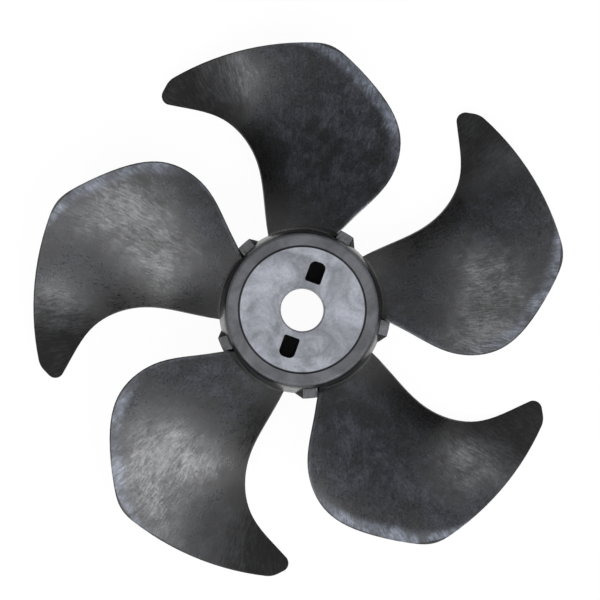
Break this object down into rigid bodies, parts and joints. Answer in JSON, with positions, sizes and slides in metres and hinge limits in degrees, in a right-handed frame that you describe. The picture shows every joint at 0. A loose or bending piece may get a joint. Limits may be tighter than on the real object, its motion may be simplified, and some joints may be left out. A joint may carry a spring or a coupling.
{
  "type": "axial fan impeller",
  "caption": "One-piece moulded axial fan impeller: swept blades on a hollow round hub, with a plain central bore and drive slots in the hub's front face.",
  "frame": {"origin": "on the axis of rotation, where the rear end of the hub's boss seats on the shaft's shoulder", "axes": "+Z along the axis of rotation towards the inlet side and the hub's front face; the two drive slots lie on the X axis"},
  "size_m": [0.2495, 0.2534, 0.0554],
  "materials": {
    "impeller": "satin, glass-filled polyamide, dark grey"
  },
  "bodies": {
    "root": {"impeller": "impeller"}
  },
  "joints": []
}
